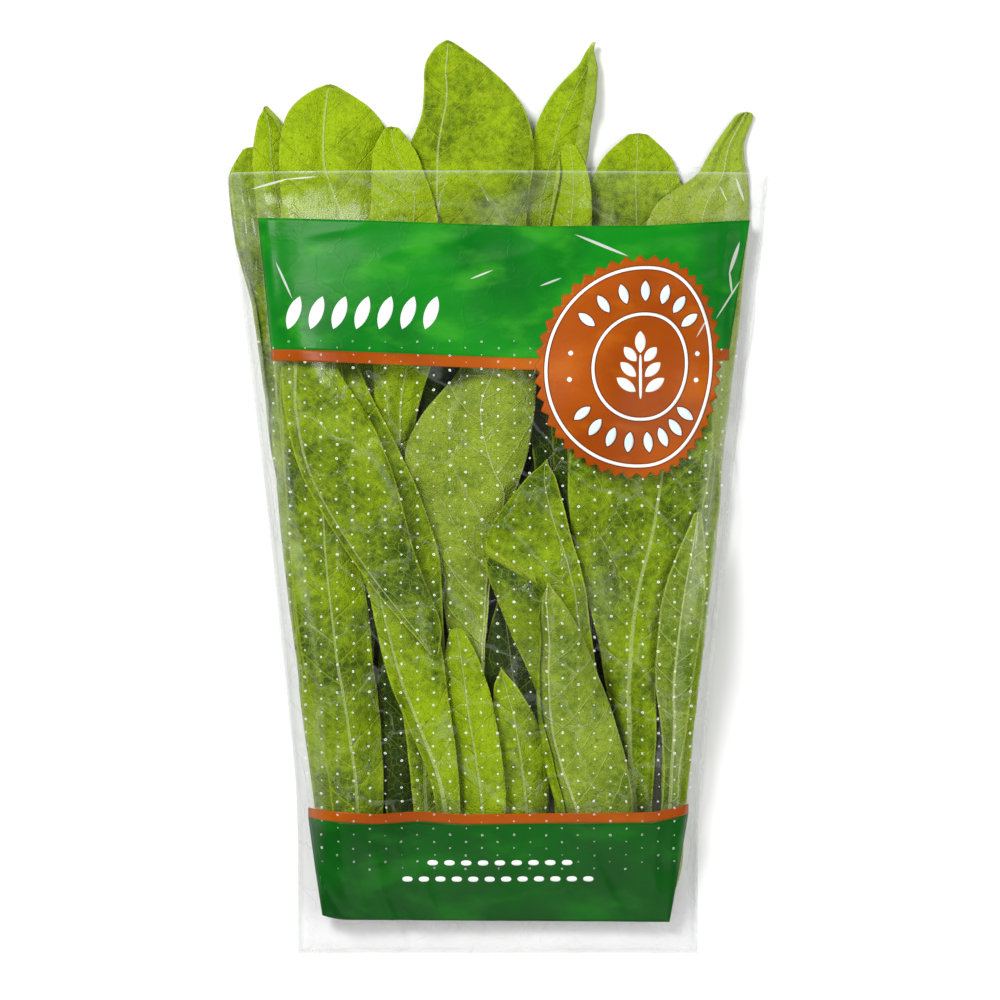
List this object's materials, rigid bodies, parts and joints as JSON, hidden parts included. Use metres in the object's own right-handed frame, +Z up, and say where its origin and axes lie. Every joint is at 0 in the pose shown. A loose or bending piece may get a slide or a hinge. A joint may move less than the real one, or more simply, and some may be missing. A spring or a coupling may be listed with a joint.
{
  "type": "bagged bunch of leaf chicory",
  "caption": "Loose green chicory leaves in a clear, tapered, perforated film bag with printed bands; lies flat on its back film",
  "frame": {"origin": "on the surface that the bag lies on, under the middle of the whole outline", "axes": "+Y from the sealed base to the leaf tips, +Z up from the back film to the front film, +X to the right as the front is read"},
  "size_m": [0.2378, 0.3966, 0.0408],
  "materials": {
    "leaf_upper": "satin",
    "leaf_under": "matte",
    "leaf_shade": "satin",
    "clear_film": "gloss"
  },
  "bodies": {
    "root": {"round_right_leaf": "leaf_upper", "folded_tip_leaf": "leaf_upper", "inner_curl_leaf": "leaf_upper", "tall_leaf": "leaf_upper", "left_narrow_leaf": "leaf_upper", "round_left_leaf": "leaf_upper", "front_left_top_leaf": "leaf_upper", "low_left_leaf": "leaf_upper", "low_right_leaf": "leaf_upper", "right_rim_leaf": "leaf_upper", "left_broad_leaf": "leaf_upper", "slim_behind_leaf": "leaf_upper", "small_point_leaf": "leaf_upper", "centre_bright_leaf": "leaf_upper", "right_broad_leaf": "leaf_upper", "kite_leaf": "leaf_upper", "ribbed_leaf": "leaf_upper", "right_wing_leaf": "leaf_under", "broad_pale_leaf": "leaf_under", "right_grey_leaf": "leaf_under", "front_long_leaf": "leaf_under", "upturned_leaf": "leaf_under", "back_left_leaf": "leaf_shade", "back_centre_leaf": "leaf_shade", "back_right_leaf": "leaf_shade", "left_edge_leaf": "leaf_shade", "dim_centre_leaf": "leaf_shade", "centre_dark_leaf": "leaf_shade", "bag_back_film": "clear_film", "bag_front_film": "clear_film"}
  },
  "joints": []
}
